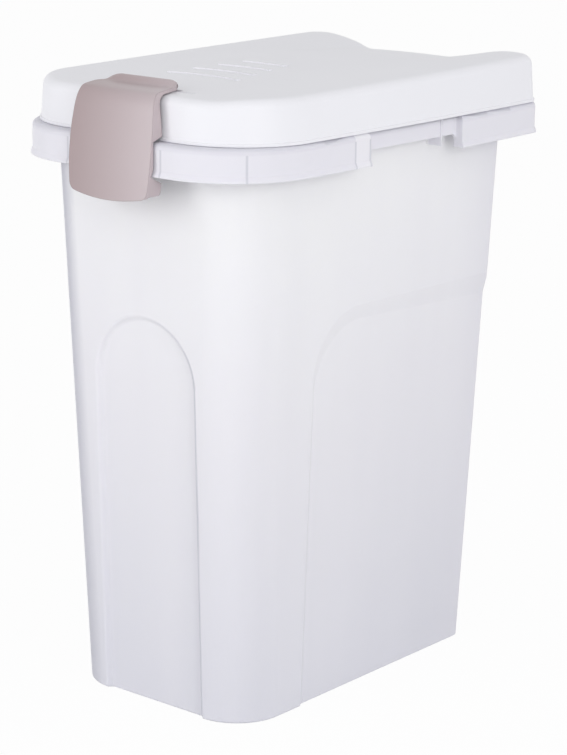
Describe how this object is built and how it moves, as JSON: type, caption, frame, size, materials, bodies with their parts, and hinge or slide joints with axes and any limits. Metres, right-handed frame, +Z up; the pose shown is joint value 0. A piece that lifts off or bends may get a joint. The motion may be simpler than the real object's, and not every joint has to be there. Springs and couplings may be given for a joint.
{
  "type": "pet food storage bin",
  "caption": "Tall tapered food bin with a translucent tub, a hinged sealed lid and a swing clip at the front.",
  "frame": {"origin": "middle of the tub's underside, on the surface that the bin stands on", "axes": "+Z up, +X to the right as one looks at the clip, the clip faces -Y and the hinge is at +Y"},
  "size_m": [0.2516, 0.3914, 0.489],
  "materials": {
    "tub_plastic": "frosted translucent moulded plastic",
    "lid_plastic": "satin white moulded plastic",
    "seal_rubber": "soft pale grey rubber",
    "clip_plastic": "satin taupe moulded plastic",
    "pin_plastic": "smooth white moulded plastic"
  },
  "bodies": {
    "tub": {"tub": "tub_plastic", "hinge_pin_left": "pin_plastic", "hinge_pin_right": "pin_plastic"},
    "lid": {"lid": "lid_plastic", "lid_seal": "seal_rubber"},
    "clip": {"clip": "clip_plastic", "clip_pin": "clip_plastic"}
  },
  "joints": [
    {"name": "lid_hinge", "type": "hinge", "parent": "tub", "child": "lid", "pos_m": [0, 0.1967, 0.447], "axis": [-1, 0, 0], "range_deg": [0, 105]},
    {"name": "clip_hinge", "type": "hinge", "parent": "lid", "child": "clip", "pos_m": [0, -0.147, 0.4845], "axis": [-1, 0, 0], "range_deg": [0, 110]}
  ]
}
